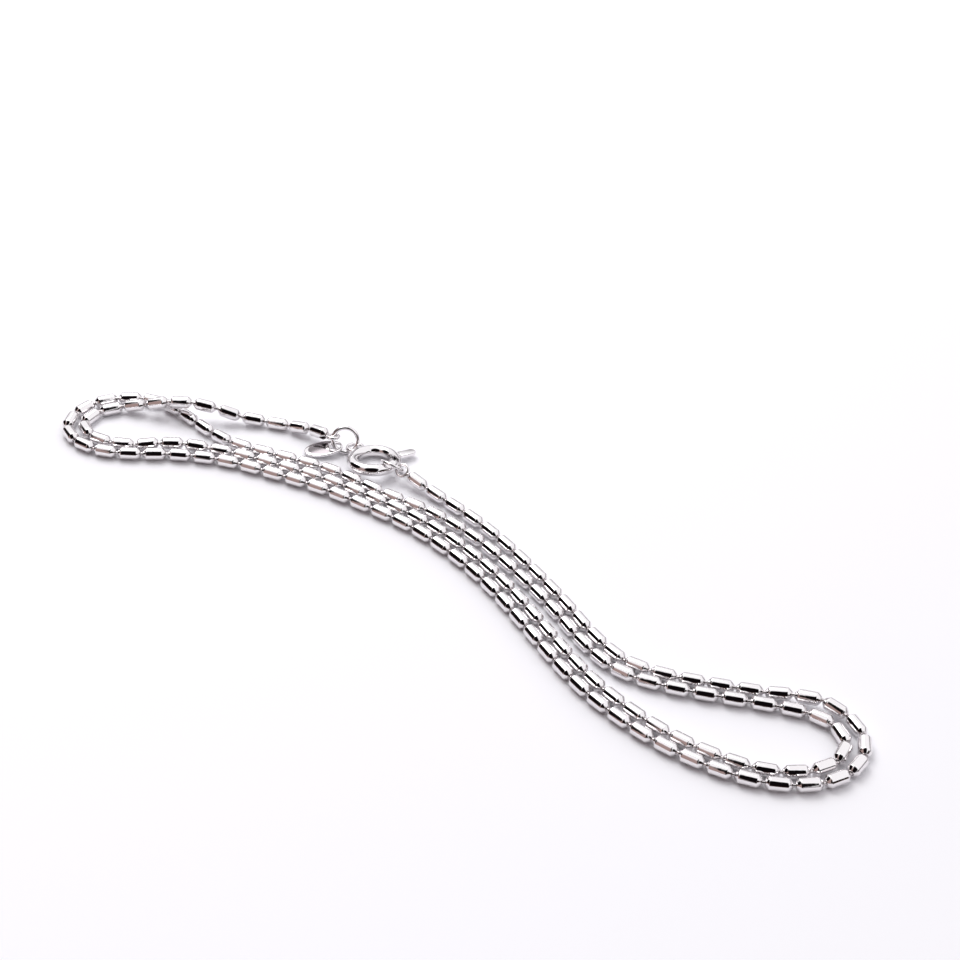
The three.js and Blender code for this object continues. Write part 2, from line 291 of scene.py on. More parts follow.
def polished_silver(name, roughness, dents, shaded=SHADED_SILVER):
    """Silver with a tumbled polish. dents is the height of its waves in millimetres.

    shaded is the colour of its painted shade, mixed in where a mesh marks it.
    """
    material, output = new_material(name)
    tree = material.node_tree
    where = add_node(tree, "ShaderNodeTexCoord").outputs["Object"]
    wear, waves, lines = (
        add_node(tree, "ShaderNodeTexNoise", Vector=where, Scale=1 / (size * MM), Detail=layers)
        for size, layers in (WEAR, DENTS, HAIRLINES)
    )
    finish = add_node(
        tree, "ShaderNodeMapRange", Value=wear.outputs["Fac"],
        From_Min=LEAST_WEAR, From_Max=MOST_WEAR,
        To_Min=roughness * BEST_POLISH, To_Max=roughness * WORST_POLISH,
    )
    dented = add_node(
        tree, "ShaderNodeBump", Height=waves.outputs["Fac"], Distance=dents * MM, Strength=1.0,
    )
    worn = add_node(
        tree, "ShaderNodeBump", Height=lines.outputs["Fac"], Normal=dented.outputs["Normal"],
        Distance=HAIRLINE_DEPTH * MM, Strength=HAIRLINE_STRENGTH,
    )
    # Painted shade: the mesh marks how much of the darker colour each point gets
    painted_shade = add_node(tree, "ShaderNodeAttribute", {"attribute_name": "painted_shade"})
    base = add_node(
        tree, "ShaderNodeMix", {"data_type": "RGBA"}, _0=painted_shade.outputs["Fac"],
        _6=linear(SILVER), _7=linear(shaded),
    )
    shader = add_node(
        tree, "ShaderNodeBsdfPrincipled", Metallic=1.0, Base_Color=base.outputs[2],
        Roughness=finish.outputs["Result"], Normal=worn.outputs["Normal"],
    )
    tree.links.new(shader.outputs["BSDF"], output.inputs["Surface"])
    print("material:", name)
    return material


# Rolled tube, tumbled with shot: a mirror whose streaks waver a little
BEAD_SILVER = polished_silver("tumbled_silver_beads", roughness=0.07, dents=0.008)
# Drawn tube, polished on a wheel: the clearest mirror of the four
TUBE_SILVER = polished_silver("polished_silver_tube", roughness=0.06, dents=0.006)
# Wire drawn through a die: even and round, with a softer shine
WIRE_SILVER = polished_silver("drawn_silver_wire", roughness=0.10, dents=0.003)
# Rolled sheet, rubbed on cloth: a softer shine. Its face gets a grey painted shade, its rim none
TAG_SILVER = polished_silver(
    "rubbed_silver_with_painted_grey_face", roughness=0.16, dents=0.010, shaded=TAG_FACE_SHADE,
)

# %% [markdown]
# A barrel bead is a rolled tube whose ends are pressed to a cone over the bar. A cylinder with a
# bevel comes close, but a profile says more: a short list of places along the axis with a radius
# at each. Rings set close together keep the edge between tube and cone crisp, so that a
# reflection ends sharply there, and a slight swell makes each streak widen to the middle of its
# bead.

# %% The profile of a bead and of the bar after it
BAR_RADIUS, LIP_RADIUS = 0.2, 0.33
# The cone's last number is the painted shade at its narrow end, which fades out towards the tube
CONE_LENGTH, CONE_CURVE, CONE_PAINTED_SHADE = 0.42, 0.85, 0.35
EDGE, LIP_EDGE = 0.07, 0.05
BARREL_SWELL = 0.015
# Rings of the mouth: how far in from the bead's end, radius, and painted shade, 0 to 1
MOUTH = [(0.03, BAR_RADIUS, 1.0), (0.01, LIP_RADIUS - LIP_EDGE, 0.8), (0.0, LIP_RADIUS, 0.5)]
# Rings of the cone as shares of it, of the edge in degrees, and of half the tube as shares of it
CONE_RINGS, EDGE_RINGS, TUBE_RINGS = (0.12, 0.35, 0.6, 0.84), (38, 25, 12), (-0.9, -0.45, 0.0)


def bead_profile():
    """Rows of place along the bead, radius and painted shade, from one end to the other."""
    end = -BEAD_LENGTH / 2
    shoulder = end + CONE_LENGTH
    tube = BEAD_RADIUS * (1 - BARREL_SWELL)
    rows = [(end + inward, radius, painted_shade) for inward, radius, painted_shade in MOUTH]
    for share in CONE_RINGS:
        radius = LIP_RADIUS + (tube - LIP_RADIUS) * share**CONE_CURVE
        rows.append((end + CONE_LENGTH * share, radius, CONE_PAINTED_SHADE * (1 - share) ** 2))
    for turn in (math.radians(degrees) for degrees in EDGE_RINGS):
        along = shoulder + EDGE / 2 - EDGE * math.sin(turn)
        rows.append((along, tube - EDGE * (1 - math.cos(turn)), 0.0))
    for share in TUBE_RINGS:
        along = -(shoulder + EDGE) * share
        rows.append((along, BEAD_RADIUS * (1 - BARREL_SWELL * share**2), 0.0))
    return rows + [(-along, radius, painted_shade) for along, radius, painted_shade in reversed(rows[:-1])]


PROFILE = bead_profile()
print("rings in a bead:", len(PROFILE))

# %% [markdown]
# A skin through many rings is a plain grid of points, and numpy makes such a grid in one go. A
# ring is a section, drawn flat as corners, that is then stood up at its place. How much painted
# shade a ring gets rides along as a named attribute that the silver reads. A solid's faces have
# to point outward, and Blender can find that direction by itself.

# %% Skins through rings


def circle(sides, offset=0.0):
    """Corners evenly round a circle of radius 1. offset turns them by a share of one step."""
    turns = (np.arange(sides) + offset) / sides * FULL_TURN
    return np.stack([np.cos(turns), np.sin(turns)], axis=1)


def section_at(middle, out, up, corners):
    """The corners of a section, each (outward, upward), as points about a middle."""
    return np.array(middle) + corners @ np.array([out, up])


def face_outward(mesh):
    """Turns every face of a mesh outward."""
    skin = bmesh.new()
    skin.from_mesh(mesh)
    bmesh.ops.recalc_face_normals(skin, faces=skin.faces)
    skin.to_mesh(mesh)
    skin.free()


def skin_object(name, skins, unit=1.0):
    """A mesh object of skins. unit is the length that a millimetre gets in it.

    A skin is a list of rings and whether the last one joins the first: if not, its ends are
    capped. A ring is an array of points in millimetres and how much painted shade it gets.
    """
    points, faces, values = [], [], []
    for rings, closed in skins:
        base, sides, count = sum(map(len, points)), len(rings[0][0]), len(rings)
        for ring, painted_shade in rings:
            points.append(ring)
            values.extend([painted_shade] * sides)
        for i in range(count if closed else count - 1):
            a, b = base + i * sides, base + (i + 1) % count * sides
            for k in range(sides):
                following = (k + 1) % sides
                faces.append((a + k, b + k, b + following, a + following))
        if not closed:
            last = base + (count - 1) * sides
            faces += [range(base, base + sides), reversed(range(last, last + sides))]
    mesh = bpy.data.meshes.new(name)
    mesh.from_pydata((np.concatenate(points) * unit).tolist(), [], [tuple(f) for f in faces])
    # Each point's painted shade, which the silver reads
    mesh.attributes.new("painted_shade", "FLOAT", "POINT").data.foreach_set("value", values)
    face_outward(mesh)
    made = bpy.data.objects.new(name, mesh)
    bpy.context.collection.objects.link(made)
    return made


BEAD_SIDES = 36
BEAD_CIRCLE = BEAD_RADIUS * circle(BEAD_SIDES, 0.5)
facet = np.linalg.norm(BEAD_CIRCLE[1] - BEAD_CIRCLE[0])
print("a bead's facets are", round(float(facet), 3), "mm wide")

# %% [markdown]
# Each finished mesh stands for a node of the imported model. It hides that node and rides on the
# same body. Smooth shading hides the facets, and edges sharper than 50 degrees stay crisp.

# %% Put a piece in its node's place
SHARP_ANGLE = 50


def dress(piece, material, body, slot, *nodes):
    """Smooths a piece, gives it its silver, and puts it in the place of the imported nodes."""
    face_outward(piece.data)
    piece.data.shade_smooth()
    piece.data.set_sharp_from_angle(angle=math.radians(SHARP_ANGLE))
    piece.data.materials.clear()
    piece.data.materials.append(material)
    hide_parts(*nodes)
    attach(piece, body)
    print(piece.name, len(piece.data.polygons), "faces")


print("edges stay crisp over", SHARP_ANGLE, "degrees")

# %% [markdown]
# The chain's two ends are closed by small wire eyes, soldered to the last bars. Blender has a
# ready torus, but a ring of round wire is a skin too, with its rings set round a circle and
# joined end to start. So it can share a mesh with the beads, and stand in any direction.

# %% Rings of wire and the chain's eyes
WIRE_STEPS, WIRE_SIDES = 64, 20
EYE_RADIUS, EYE_WIRE, EYE_NECK = 0.7, 0.2, 0.3
FIRST_EYE_ROLL, LAST_EYE_ROLL = 40, -15


def wire_ring(centre, normal, radius, wire, steps=WIRE_STEPS):
    """A closed skin: round wire bent to a circle about a normal."""
    across = normal.orthogonal().normalized()
    forward = normal.cross(across)
    rings = []
    for k in range(steps):
        angle = k / steps * FULL_TURN
        out = across * math.cos(angle) + forward * math.sin(angle)
        middle = centre + out * radius
        rings.append((section_at(middle, out, normal, wire * circle(WIRE_SIDES)), 0.0))
    return rings, True


def eye_at(bead, direction, roll):
    """The middle and normal of the eye beyond an end bead, 1 or -1 along the bead's axis."""
    axis = bead_axes[bead]
    away = direction * (BEAD_LENGTH / 2 + EYE_NECK + EYE_RADIUS)
    flat = axis.cross(UP).normalized().cross(axis)
    return bead_centres[bead] + axis * away, Quaternion(axis, math.radians(roll)) @ flat


first_eye = eye_at(0, -1, FIRST_EYE_ROLL)
last_eye = eye_at(-1, 1, LAST_EYE_ROLL)
print("eyes at", [round(v, 2) for v in first_eye[0]], [round(v, 2) for v in last_eye[0]])

# %% [markdown]
# The beads could be copies of one bead, strung on a hidden wire. But each lap is one fused piece
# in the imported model, so it is one here: a skin through all its rings, bead after bead. The first
# lap begins with the neck of its eye and ends with the bar that leads to the second, so the join
# looks like any other bar.

# %% The two laps of the chain
OUTER_SHARE = 0.437
NECK = BEAD_LENGTH / 2 + EYE_NECK
# How much of the way to the next bead the outer lap's last bar fills
BAR_FILL = 0.9
LAST_BAR = BEAD_LENGTH / 2 + BAR_FILL * (BEAD_PITCH - BEAD_LENGTH)
# The bars at the laps' ends get this much painted shade
BAR_PAINTED_SHADE = 0.5
OUTER_BEADS = round(BEADS * OUTER_SHARE)


def bead_ring(bead, along, radius):
    """A ring square to a bead's axis, at a distance along it from the bead's middle."""
    axis = bead_axes[bead]
    side = axis.cross(UP).normalized()
    corners = BEAD_CIRCLE * (radius / BEAD_RADIUS)
    return section_at(bead_centres[bead] + axis * along, side, side.cross(axis), corners)


def bead_rings(first, last):
    """The rings of the beads from first up to last."""
    return [
        (bead_ring(bead, along, radius), painted_shade)
        for bead in range(first, last)
        for along, radius, painted_shade in PROFILE
    ]


def bar_end(bead, along):
    """The ring that ends a bar, at a distance from a bead's middle."""
    return bead_ring(bead, along, BAR_RADIUS), BAR_PAINTED_SHADE


outer_rings = [bar_end(0, -NECK)] + bead_rings(0, OUTER_BEADS)
outer_rings.append(bar_end(OUTER_BEADS - 1, LAST_BAR))
inner_rings = bead_rings(OUTER_BEADS, BEADS) + [bar_end(BEADS - 1, NECK)]
first_eye_skin = wire_ring(*first_eye, EYE_RADIUS, EYE_WIRE)
last_eye_skin = wire_ring(*last_eye, EYE_RADIUS, EYE_WIRE)
outer_beads = skin_object("outer_lap_beads", [(outer_rings, False), first_eye_skin], MM)
dress(outer_beads, BEAD_SILVER, "necklace", "bead_silver", "chain_outer_lap")
inner_beads = skin_object("inner_lap_beads", [(inner_rings, False), last_eye_skin], MM)
dress(inner_beads, BEAD_SILVER, "necklace", "bead_silver", "chain_inner_lap")

# %% [markdown]
# The clasp lies beside the chain, tipped a little because its front rests on the end ring. It is
# easiest to model flat, about its own middle, and to turn and move the finished mesh to its
# place, once and for all.

# %% The clasp's place
CLASP_RADIUS, CLASP_TUBE = 2.5, 0.7
CLASP_AT, CLASP_TILT = (-12.5, 3.25), 10
TILT_AXIS = Vector((-0.99, 0.14, 0.0)).normalized()

tilt = math.radians(CLASP_TILT)
clasp_middle = placed(*CLASP_AT, CLASP_TUBE + CLASP_RADIUS * math.sin(tilt))
CLASP_PLACE = Matrix.Translation(clasp_middle) @ Matrix.Rotation(tilt, 4, TILT_AXIS)
CLASP_TO_METRES = Matrix.Scale(MM, 4) @ CLASP_PLACE


def on_clasp(radius, degrees, lift=0.0):
    """A place beside the chain, given round the flat clasp's own middle."""
    angle = math.radians(degrees)
    return CLASP_PLACE @ Vector((radius * math.cos(angle), radius * math.sin(angle), lift))


print("clasp at", [round(v, 2) for v in clasp_middle])

# %% [markdown]
# A spring ring clasp is one bent tube with a gap, and everything in it follows the same circle:
# the tube, the hollow inside it, the slot and the bolt. So one function bends a rod of any
# section round that circle, and can give it the round nose that a bolt is turned with.

# %% Rods bent round the clasp
ARC_STEP, ROD_SIDES = 2.5, 32
ROD_CIRCLE = circle(ROD_SIDES, 0.5)
NOSE_RINGS = (15, 30, 45, 60, 75, 90)


def rod(start, end, section, nose=0.0):
    """A skin bent about the clasp's middle from one angle in degrees to another.

    section holds its (outward, upward) corners, and nose is the length of its rounded start.
    """
    count = round((end - start) / ARC_STEP)
    angles = [start + (end - start) * k / count for k in range(count + 1)]
    sizes = [1.0] * len(angles)
    if nose:
        tip = math.degrees(nose / CLASP_RADIUS)
        rounding = [start + tip * (1 - math.cos(math.radians(turn))) for turn in NOSE_RINGS]
        angles = sorted(rounding + angles[1:])
        sizes = [math.sqrt(1 - max(0.0, 1 - (angle - start) / tip) ** 2) for angle in angles]
    rings = []
    for degrees, size in zip(angles, sizes):
        out = np.array((math.cos(math.radians(degrees)), math.sin(math.radians(degrees)), 0.0))
        rings.append((section_at(CLASP_RADIUS * out, out, UP, size * section), 0.0))
    return rings, False


print("the rods' rings are", round(math.radians(ARC_STEP) * CLASP_RADIUS, 3), "mm apart")

# %% [markdown]
# A goldsmith bends a solid rod, drills it, mills a slot and solders the eyelet on. The same steps
# are the clearest way to model it: a union solders, a difference drills and mills, and a bevel on
# every sharp edge does what polishing does. A tube drawn point by point would take far more care
# at the slot. The steps are then applied, so that the piece is a plain mesh and its cutters can
# go.

# %% Solder, cut and polish
SOFT_EDGE, SOFT_STEPS, POLISHED_OVER = 0.05, 3, 40


def apply_steps(piece):
    """Makes a piece's modifiers part of its mesh."""
    bpy.context.view_layer.update()
    made = piece.evaluated_get(bpy.context.evaluated_depsgraph_get())
    mesh = bpy.data.meshes.new_from_object(made)
    piece.modifiers.clear()
    piece.data = mesh


def worked(piece, steps):
    """Works a piece with tools, each step the operation and its tool, and removes the tools."""
    for operation, tool in steps:
        step = piece.modifiers.new(operation.lower(), "BOOLEAN")
        step.operation = operation
        step.object = tool
        step.solver = "EXACT"
    apply_steps(piece)
    for _, tool in steps:
        bpy.data.objects.remove(tool)
    print(piece.name, "after", len(steps), "steps:", len(piece.data.polygons), "faces")


def polish_edges(piece):
    """Rounds every edge that is sharp enough to feel."""
    bevel = piece.modifiers.new("bevel", "BEVEL")
    bevel.width = SOFT_EDGE
    bevel.segments = SOFT_STEPS
    bevel.limit_method = "ANGLE"
    bevel.angle_limit = math.radians(POLISHED_OVER)
    apply_steps(piece)


# %% [markdown]
# The tube is hollow at both sides of the gap, so that the bolt can cross it: a long bore on the
# side where the bolt slides, and a short socket where its nose rests. Along the bore a slot lets
# the lever out. Angles are counted round the clasp from its gap.

# %% The clasp's tube
MOUTH_ANGLE, SOCKET_ANGLE = 2, 334
BORE, BORE_END, SOCKET_DEPTH = 0.46, 83, 9
SLOT_START, SLOT_END, SLOT_HEIGHT = 17, 72, 0.56
EYELET_RADIUS, EYELET_WIRE = 0.92, 0.25
EYELET_OUT, EYELET_ANGLE, EYELET_LIFT = 3.8, 128, 0.1
# How far a cutter starts outside the metal, in degrees
PAST = 8

eyelet_at = Vector((EYELET_OUT, 0, EYELET_LIFT))
eyelet_at.rotate(Quaternion(UP, math.radians(EYELET_ANGLE)))
slot_out, slot_up = 2 * CLASP_TUBE, SLOT_HEIGHT / 2
slot_section = np.array([(0, -slot_up), (slot_out, -slot_up), (slot_out, slot_up), (0, slot_up)])
bore_section = BORE * ROD_CIRCLE

tube = skin_object("clasp_tube", [rod(MOUTH_ANGLE, SOCKET_ANGLE, CLASP_TUBE * ROD_CIRCLE)])
eyelet = skin_object("eyelet", [wire_ring(eyelet_at, UP, EYELET_RADIUS, EYELET_WIRE)])
bore = skin_object("bore", [rod(MOUTH_ANGLE - PAST, BORE_END, bore_section)])
socket_start, socket_end = SOCKET_ANGLE - SOCKET_DEPTH, SOCKET_ANGLE + PAST
socket = skin_object("socket", [rod(socket_start, socket_end, bore_section)])
slot = skin_object("slot", [rod(SLOT_START, SLOT_END, slot_section)])
worked(tube, [("UNION", eyelet)] + [("DIFFERENCE", cutter) for cutter in (bore, socket, slot)])
polish_edges(tube)
tube.data.transform(CLASP_TO_METRES)
dress(tube, TUBE_SILVER, "necklace", "clasp_silver", "clasp_body")

# %% [markdown]
# The bolt's lever, the part that a thumb pulls, is a flat tab with a round end on a narrow stem.
# A flat curve with a depth and a bevel is the shortest way to such a plate with soft edges. The
# curve leaves double points where its bevel meets its faces, so the mesh made of it is joined.

# %% Plates with soft edges
ROUND_STEPS = 24
BEVEL_STEPS = 3
# Points closer than this share of the bevel are one
DOUBLE = 0.01


def plate(name, outline, thickness, soft):
    """A flat plate from a closed outline of (x, y) corners, with edges rounded by soft."""
    curve = bpy.data.curves.new(name, "CURVE")
    curve.dimensions = "2D"
    curve.fill_mode = "BOTH"
    curve.extrude = thickness / 2 - soft
    curve.bevel_depth = soft
    curve.offset = -soft
    curve.bevel_resolution = BEVEL_STEPS
    spline = curve.splines.new("POLY")
    spline.points.add(len(outline) - 1)
    spline.points.foreach_set("co", [v for x, y in outline for v in (x, y, 0.0, 1.0)])
    spline.use_cyclic_u = True
    drawn = bpy.data.objects.new(name + "_curve", curve)
    bpy.context.collection.objects.link(drawn)
    made = drawn.evaluated_get(bpy.context.evaluated_depsgraph_get())
    mesh = bpy.data.meshes.new_from_object(made)
    bpy.data.objects.remove(drawn)
    joined = bmesh.new()
    joined.from_mesh(mesh)
    bmesh.ops.remove_doubles(joined, verts=joined.verts, dist=soft * DOUBLE)
    joined.to_mesh(mesh)
    joined.free()
    piece = bpy.data.objects.new(name, mesh)
    bpy.context.collection.objects.link(piece)
    print(name, "is", thickness, "mm thick")
    return piece


def round_end(x, radius):
    """The half circle that ends a tab at x, from its right side to its left."""
    turns = [math.pi * (k / ROUND_STEPS - 0.5) for k in range(ROUND_STEPS + 1)]
    return [(x + radius * math.cos(turn), radius * math.sin(turn)) for turn in turns]


# %% [markdown]
# The bolt is a bent wire with a round nose that crosses the gap. Its lever is soldered on, and
# stands out through the slot. The bolt is the one piece that moves, so it rides on its own body.

# %% The bolt and its lever
BOLT_WIRE, BOLT_SIDES = 0.32, 24
BOLT_TIP, BOLT_TAIL, LEVER_ANGLE = -31, 41, 27
LEVER_WIDTH, LEVER_THICKNESS, LEVER_REACH, LEVER_SOFT = 1.15, 0.45, 5.4, 0.1
STEM_WIDTH, STEM_THICKNESS, STEM_SOFT = 0.8, 0.36, 0.05
# The lever clears the tube by LEVER_GAP, and its stem runs STEM_IN into it
LEVER_GAP, STEM_IN = 0.1, 0.2

lever_start = CLASP_RADIUS + CLASP_TUBE + LEVER_GAP
half = LEVER_WIDTH / 2
tab_outline = [(lever_start, -half)] + round_end(LEVER_REACH - half, half) + [(lever_start, half)]
tab = plate("lever_tab", tab_outline, LEVER_THICKNESS, LEVER_SOFT)
stem_end, half = lever_start + STEM_IN, STEM_WIDTH / 2
stem_outline = [(CLASP_RADIUS, -half), (stem_end, -half), (stem_end, half), (CLASP_RADIUS, half)]
stem = plate("lever_stem", stem_outline, STEM_THICKNESS, STEM_SOFT)
for part in (tab, stem):
    part.data.transform(Matrix.Rotation(math.radians(LEVER_ANGLE), 4, "Z"))
bolt_section = BOLT_WIRE * circle(BOLT_SIDES, 0.5)
bolt = skin_object("clasp_bolt_wire", [rod(BOLT_TIP, BOLT_TAIL, bolt_section, nose=BOLT_WIRE)])
worked(bolt, [("UNION", tab), ("UNION", stem)])
bolt.data.transform(CLASP_TO_METRES)
dress(bolt, TUBE_SILVER, "bolt", "clasp_silver", "clasp_bolt")

# %% [markdown]
# Two rings of drawn wire join the chain to the clasp. The end ring is closed round the clasp's
# tube and through the chain's first eye, and the jump ring stands up through the eyelet and the
# last eye. Each is set by the two places that it has to pass through, and then leans about the
# line between them.

# %% End ring and jump ring
END_RADIUS, END_WIRE, END_AT, END_LEAN = 1.54, 0.2, 329, 42.5
JUMP_RADIUS, JUMP_WIRE, JUMP_LEAN, JUMP_STEPS = 1.5, 0.25, -24, 80


def leaning(line, degrees):
    """The normal of a ring that stands on a line and leans about it."""
    return Quaternion(line, math.radians(degrees)) @ UP.cross(line).normalized()


out = (first_eye[0] - on_clasp(CLASP_RADIUS, END_AT)).normalized()
end_centre = first_eye[0] - out * END_RADIUS
end_skin = wire_ring(end_centre, leaning(out, END_LEAN), END_RADIUS, END_WIRE)
end_ring = skin_object("wire_end_ring", [end_skin], MM)
dress(end_ring, WIRE_SILVER, "necklace", "wire_silver", "end_ring")

left, right = last_eye[0], on_clasp(EYELET_OUT, EYELET_ANGLE, EYELET_LIFT)
across = (right - left).normalized()
jump_normal = leaning(across, JUMP_LEAN)
jump_up = across.cross(jump_normal)
jump_rise = math.sqrt(JUMP_RADIUS**2 - (right - left).length_squared / 4)
jump_centre = (left + right) / 2 + jump_up * jump_rise
jump_skin = wire_ring(jump_centre, jump_normal, JUMP_RADIUS, JUMP_WIRE, JUMP_STEPS)
jump_ring = skin_object("wire_jump_ring", [jump_skin], MM)
dress(jump_ring, WIRE_SILVER, "necklace", "wire_silver", "jump_ring")

# %% [markdown]
# The small tag is cut from sheet, pierced, and slightly domed by the punch. It hangs on the jump
# ring and lies nearly flat. A plate like the lever's could not be domed, so it is one closed skin
# whose rings run from the oval outline in to the round hole over the top, and back out
# underneath.

# %% The oval tag's place and rings
TAG_LENGTH, TAG_WIDTH, TAG_THICKNESS, TAG_DOME = 4.7, 2.9, 0.3, 0.14
TAG_HOLE, TAG_RIM, TAG_EDGE = 0.62, 0.28, 0.1
TAG_HANG, TAG_TILT, TAG_HEADING = 25, 8.5, 181
TAG_SIDES = 72
TAG_CIRCLE = circle(TAG_SIDES)

hang = math.radians(TAG_HANG)
tag_at = jump_centre - JUMP_RADIUS * (across * math.sin(hang) + jump_up * math.cos(hang))
turned = Matrix.Rotation(math.radians(TAG_HEADING), 4, "Z")
tipped = Matrix.Rotation(math.radians(TAG_TILT), 4, "Y")
TAG_PLACE = np.array(Matrix.Translation(tag_at) @ turned @ tipped)
# The tag's middle, counted from the middle of its hole
tag_middle = TAG_LENGTH / 2 - TAG_RIM - TAG_HOLE


# A ring's last value is how much painted shade it gets: the grey of the tag's top face
def tag_ring(share, inset, height, painted_face_shade=0.0):
    """A ring of the tag: share 0 is its outline and 1 its hole, inset from the edge there."""
    half_length, half_width = TAG_LENGTH / 2, TAG_WIDTH / 2
    outline = TAG_CIRCLE * (half_length - inset, half_width - inset) + (tag_middle, 0.0)
    x, y = (outline * (1 - share) + TAG_CIRCLE * (TAG_HOLE + inset) * share).T
    away = (x - tag_middle) ** 2 / half_length**2 + y**2 / half_width**2
    points = np.column_stack([x, y, height + TAG_DOME * (1 - away), np.ones(TAG_SIDES)])
    return (points @ TAG_PLACE.T)[:, :3], painted_face_shade


print("tag hangs at", [round(v, 2) for v in tag_at])

# %% [markdown]
# The rims of the tag and of its hole keep the silver colour, and the domed face between them is
# painted grey: a painted shade, which is what makes the tag read as grey beside the mirrors. Both
# of its edges are rounded by a quarter turn above and below.

# %% The oval tag
EDGE_TURNS = (-90, -60, -30, 0, 30, 60, 90)
FACE_RINGS = (0.07, 0.12, 0.16, 0.3, 0.45, 0.6, 0.75, 0.84, 0.88, 0.94)
# Between these shares of the top face the tag is painted grey: painted shade
PAINTED_GREY_FROM, PAINTED_GREY_TO = 0.15, 0.85


def tag_edge(share):
    """The rounded edge at the outline or at the hole, from underneath to the top."""
    level = TAG_THICKNESS / 2 - TAG_EDGE
    return [
        tag_ring(
            share, TAG_EDGE * (1 - math.cos(turn)),
            math.copysign(level, turn) + TAG_EDGE * math.sin(turn),
        )
        for turn in (math.radians(degrees) for degrees in EDGE_TURNS)
    ]


top = [
    tag_ring(share, TAG_EDGE, TAG_THICKNESS / 2, painted_face_shade=float(PAINTED_GREY_FROM < share < PAINTED_GREY_TO))
    for share in FACE_RINGS
]
under = [tag_ring(share, TAG_EDGE, -TAG_THICKNESS / 2) for share in reversed(FACE_RINGS)]
tag_skin = (tag_edge(0) + top + tag_edge(1)[::-1] + under, True)
tag = skin_object("plain_oval_tag", [tag_skin], MM)
dress(tag, TAG_SILVER, "necklace", "tag_silver", "oval_tag")

# %% [markdown]
# The floor is a large board with a matt white coat, as under a product photograph. A matt coat
# spreads the light, so the shadows stay soft and pale, and the underside of every bead mirrors
# it as the bright line under the dark streak. One face is enough, and it is so large that no
# view finds its edge.

# %% Floor
# In metres
FLOOR_SIZE = 8.0
FLOOR_COLOUR, FLOOR_ROUGHNESS = "#faf9fd", 0.7

corner = FLOOR_SIZE / 2
around = [(-corner, -corner), (corner, -corner), (corner, corner), (-corner, corner)]
floor_mesh = bpy.data.meshes.new("pale_floor")
floor_mesh.from_pydata([(x, y, 0) for x, y in around], [], [(0, 1, 2, 3)])
floor = bpy.data.objects.new("pale_floor", floor_mesh)
bpy.context.collection.objects.link(floor)
floor_material, floor_output = new_material("matt_pale_board")
floor_shader = add_node(
    floor_material.node_tree, "ShaderNodeBsdfPrincipled",
    Base_Color=linear(FLOOR_COLOUR), Roughness=FLOOR_ROUGHNESS,
)
floor_material.node_tree.links.new(floor_shader.outputs["BSDF"], floor_output.inputs["Surface"])
floor_mesh.materials.append(floor_material)
floor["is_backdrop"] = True
print("floor:", FLOOR_SIZE, "m")

# %% [markdown]
# Polished metal shows its surroundings more than itself, so the room is half of the material.
# Each bead mirrors what lies square to its axis, and a dark part of the room becomes a dark
# streak along it. Dark cards set up round the necklace would do, but they would shade the floor.
# The world's background can be such a room too: a colour worked out from the direction alone. It
# is put together from parts, each an ellipse about one direction with a soft edge.

# %% A part of the room
SMOOTH, COLOURS = {"interpolation_type": "SMOOTHSTEP"}, {"data_type": "RGBA"}

world = bpy.data.worlds.new("studio")
world.use_nodes = True
bpy.context.scene.world = world
room = world.node_tree
room.nodes.clear()
direction = add_node(room, "ShaderNodeTexCoord").outputs["Generated"]
height = add_node(room, "ShaderNodeSeparateXYZ", Vector=direction).outputs["Z"]


def room_part(azimuth, elevation, full, gone, narrower):
    """How much a direction belongs to a part of the room, from 0 to 1.

    The part is whole within full degrees of its middle, ends at gone, and is narrower across.
    """
    azimuth, elevation = math.radians(azimuth), math.radians(elevation)
    level = math.cos(elevation)
    middle = (level * math.cos(azimuth), level * math.sin(azimuth), math.sin(elevation))
    spread = add_node(
        room, "ShaderNodeVectorMath", {"operation": "MULTIPLY"},
        _0=direction, _1=(narrower, 1, 1),
    )
    toward = add_node(
        room, "ShaderNodeVectorMath", {"operation": "NORMALIZE"}, _0=spread.outputs["Vector"],
    )
    facing = add_node(
        room, "ShaderNodeVectorMath", {"operation": "DOT_PRODUCT"},
        _0=toward.outputs["Vector"], _1=middle,
    )
    return add_node(
        room, "ShaderNodeMapRange", SMOOTH, Value=facing.outputs["Value"],
        From_Min=math.cos(math.radians(gone)), From_Max=math.cos(math.radians(full)),
    ).outputs["Result"]


print("the room is", world.name)

# %% [markdown]
# The studio is bright, and grey only near the horizon, which outlines each bead against the white
# floor. The camera's side is dark: its reflection is the black streak on the beads that lie
# across the view. A smaller dark part at the left does the same for the steep beads, one low at
# the front right darkens the cones' tips, and a warm grey wall at the front left tints the
# slanting beads. The dark parts are lighter near the floor, as a floor lights what stands on it.

# %% The room
BRIGHT_ROOM, HORIZON, WARM_WALL = "#fbfafc", "#5e565b", "#a08a86"
DARK_ROOM, LOW_ROOM = "#0c080a", "#57423d"
# Azimuth and elevation in degrees, then how far the part is whole, where it ends, how narrow
CAMERA_SIDE = (-99.0, 38.0, 40.0, 45.0, 1.8)
LEFT_SIDE = (173.0, 27.0, 23.0, 28.0, 1.0)
RIGHT_SIDE = (-48.0, 12.0, 17.0, 21.0, 1.0)
WARM_SIDE = (-148.0, 22.0, 18.0, 38.0, 1.0)
# Heights of a direction, from 0 at the horizon to 1 overhead, between which a colour changes
HORIZON_ENDS, LOW_START, LOW_ENDS = 0.4, 0.04, 0.26
ROOM_STRENGTH = 1.15

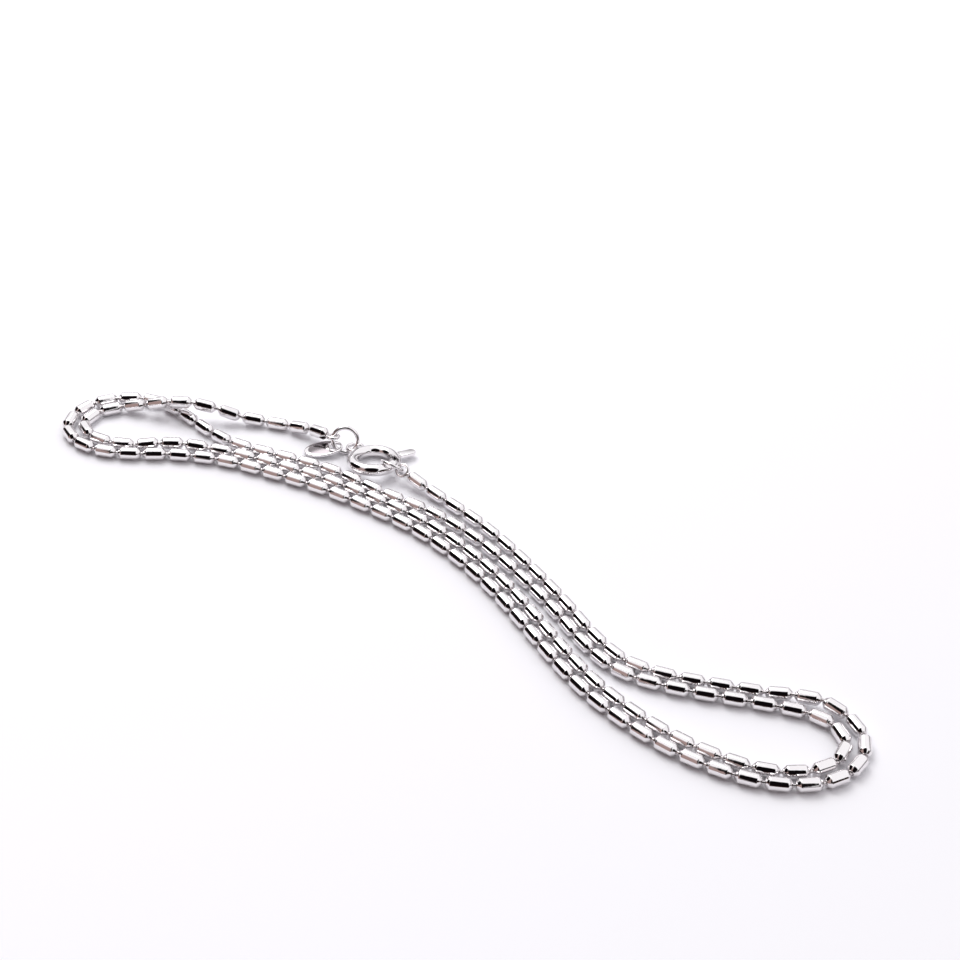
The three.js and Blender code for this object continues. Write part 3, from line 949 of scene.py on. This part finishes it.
dark_part = room_part(*CAMERA_SIDE)
for side in (LEFT_SIDE, RIGHT_SIDE):
    either = add_node(
        room, "ShaderNodeMath", {"operation": "MAXIMUM"}, _0=dark_part, _1=room_part(*side),
    )
    dark_part = either.outputs["Value"]
raised = add_node(
    room, "ShaderNodeMapRange", SMOOTH, Value=height, From_Min=0.0, From_Max=HORIZON_ENDS,
)
raised_dark = add_node(
    room, "ShaderNodeMapRange", SMOOTH, Value=height, From_Min=LOW_START, From_Max=LOW_ENDS,
)
white = add_node(
    room, "ShaderNodeMix", COLOURS,
    _0=raised.outputs["Result"], _6=linear(HORIZON), _7=linear(BRIGHT_ROOM),
)
bright = add_node(
    room, "ShaderNodeMix", COLOURS,
    _0=room_part(*WARM_SIDE), _6=white.outputs[2], _7=linear(WARM_WALL),
)
dark = add_node(
    room, "ShaderNodeMix", COLOURS,
    _0=raised_dark.outputs["Result"], _6=linear(LOW_ROOM), _7=linear(DARK_ROOM),
)
colour = add_node(
    room, "ShaderNodeMix", COLOURS, _0=dark_part, _6=bright.outputs[2], _7=dark.outputs[2],
)
background = add_node(
    room, "ShaderNodeBackground", Color=colour.outputs[2], Strength=ROOM_STRENGTH,
)
room_output = room.nodes.new("ShaderNodeOutputWorld")
room.links.new(background.outputs["Background"], room_output.inputs["Surface"])
print("nodes in the room:", len(room.nodes))

# %% [markdown]
# The room alone would light the beads evenly from everywhere. A softbox behind them, high and a
# little to the left, gives their soft shadows a direction. The standard view shows white as
# white, which a pale floor needs.

# %% Softbox and view
# Size and place in metres, and power in watts
SOFTBOX_SIZE, SOFTBOX_POWER = 0.30, 1.1
SOFTBOX_AT = Vector((-0.12, 0.25, 0.40))

softbox_data = bpy.data.lights.new("softbox", "AREA")
softbox_data.shape = "SQUARE"
softbox_data.size = SOFTBOX_SIZE
softbox_data.energy = SOFTBOX_POWER
softbox = bpy.data.objects.new("softbox", softbox_data)
softbox.location = SOFTBOX_AT
softbox.rotation_euler = (-SOFTBOX_AT).to_track_quat("-Z", "Y").to_euler()
bpy.context.collection.objects.link(softbox)
bpy.context.scene.view_settings.view_transform = "Standard"
print("softbox:", SOFTBOX_POWER, "W")

# %% [markdown]
# The dressed necklace has to keep the imported model's size, so both boxes are printed side by
# side.

# %% Print both sizes and finish
dressed_box = [list(corner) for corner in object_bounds()]
for name, box in (("packed box ", cad_box), ("dressed box", dressed_box)):
    print(name, [[round(v / MM, 2) for v in corner] for corner in box])
